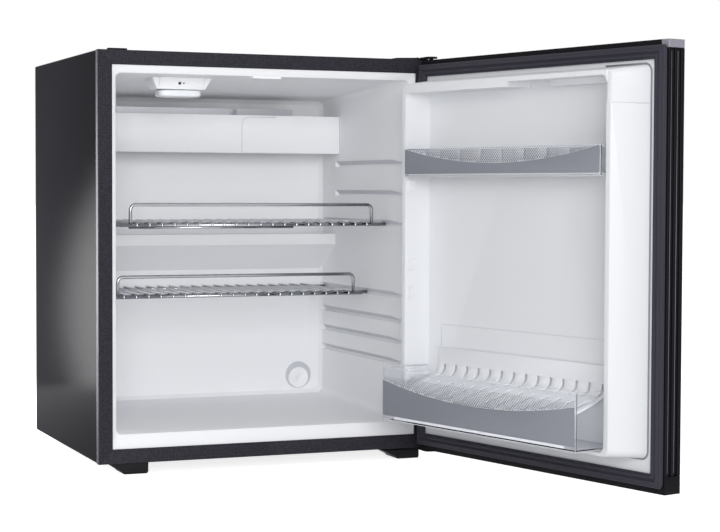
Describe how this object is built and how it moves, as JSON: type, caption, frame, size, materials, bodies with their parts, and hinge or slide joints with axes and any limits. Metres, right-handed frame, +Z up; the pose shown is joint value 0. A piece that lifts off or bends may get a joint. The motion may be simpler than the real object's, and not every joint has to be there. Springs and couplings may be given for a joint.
{
  "type": "minibar fridge",
  "caption": "Black hotel minibar fridge with its door open: white liner, chromed wire shelves, racks with clear guards on the door and an absorption cooling unit behind",
  "frame": {"origin": "centre of the underside of the front left foot", "axes": "X to the right along the front, Y from the front into the cabinet, Z up"},
  "size_m": [0.6285, 0.9723, 0.6011],
  "materials": {
    "case_black": "satin",
    "back_steel": "satin",
    "foam": "matte",
    "liner_white": "satin",
    "frame_grey": "matte",
    "lens_white": "satin",
    "sensor_dark": "gloss",
    "alloy": "satin",
    "foot_black": "matte",
    "hinge_steel": "satin",
    "screw_steel": "satin",
    "unit_black": "satin",
    "box_black": "matte",
    "trim_black": "satin",
    "cap_silver": "satin",
    "gasket_grey": "matte",
    "bush_white": "satin",
    "guard_clear": "gloss",
    "band_grey": "satin",
    "wire_chrome": "polished"
  },
  "bodies": {
    "cabinet": {"outer_case": "case_black", "rear_panel": "back_steel", "cabinet_foam": "foam", "inner_liner": "liner_white", "frame_left": "frame_grey", "frame_right": "frame_grey", "frame_top": "frame_grey", "frame_bottom_left": "frame_grey", "frame_bottom_right": "frame_grey", "light_housing": "liner_white", "light_end_caps": "liner_white", "light_lens": "lens_white", "light_sensors": "sensor_dark", "evaporator_fins": "alloy", "evaporator_cover": "liner_white", "wall_plug": "liner_white", "front_left_foot": "foot_black", "front_right_foot": "foot_black", "rear_left_foot": "foot_black", "rear_right_foot": "foot_black", "upper_hinge_bracket": "hinge_steel", "lower_hinge_bracket": "hinge_steel", "hinge_screws": "screw_steel", "hinge_hole_cap": "trim_black", "unit_rails": "unit_black", "absorber_vessel": "unit_black", "absorber_coil": "unit_black", "boiler_casing": "back_steel", "condenser_tube": "unit_black", "condenser_fins": "unit_black", "return_pipe": "unit_black", "terminal_box": "box_black", "cable_gland": "box_black"},
    "door": {"door_panel": "case_black", "door_edge_profile": "trim_black", "door_trim_top": "trim_black", "door_trim_bottom": "trim_black", "door_trim_hinge": "trim_black", "edge_cap_top": "cap_silver", "edge_cap_bottom": "trim_black", "door_foam": "foam", "door_liner": "liner_white", "door_gasket": "gasket_grey", "upper_hinge_bush": "bush_white", "lower_hinge_bush": "bush_white"},
    "upper_rack": {"upper_rack_guard": "guard_clear", "upper_rack_band": "band_grey", "upper_rack_tray": "liner_white"},
    "lower_rack": {"lower_rack_guard": "guard_clear", "lower_rack_band": "band_grey", "lower_rack_tray": "liner_white"},
    "upper_shelf": {"upper_shelf_frame": "wire_chrome", "upper_shelf_wires": "wire_chrome", "upper_shelf_guard": "wire_chrome"},
    "lower_shelf": {"lower_shelf_frame": "wire_chrome", "lower_shelf_wires": "wire_chrome", "lower_shelf_guard": "wire_chrome"}
  },
  "joints": [
    {"name": "door_hinge", "type": "hinge", "parent": "cabinet", "child": "door", "pos_m": [0.4435, -0.048, 0.3], "axis": [0, 0, 1], "range_deg": [-103.4, 25]},
    {"name": "upper_shelf_slide", "type": "slide", "parent": "cabinet", "child": "upper_shelf", "axis": [0, -1, 0], "range_m": [-0.07, 0.05]},
    {"name": "lower_shelf_slide", "type": "slide", "parent": "cabinet", "child": "lower_shelf", "axis": [0, -1, 0], "range_m": [0, 0.1]},
    {"name": "upper_rack_lift", "type": "slide", "parent": "door", "child": "upper_rack", "axis": [0, 0, 1], "range_m": [0, 0.025]},
    {"name": "lower_rack_lift", "type": "slide", "parent": "door", "child": "lower_rack", "axis": [0, 0, 1], "range_m": [0, 0.025]}
  ]
}
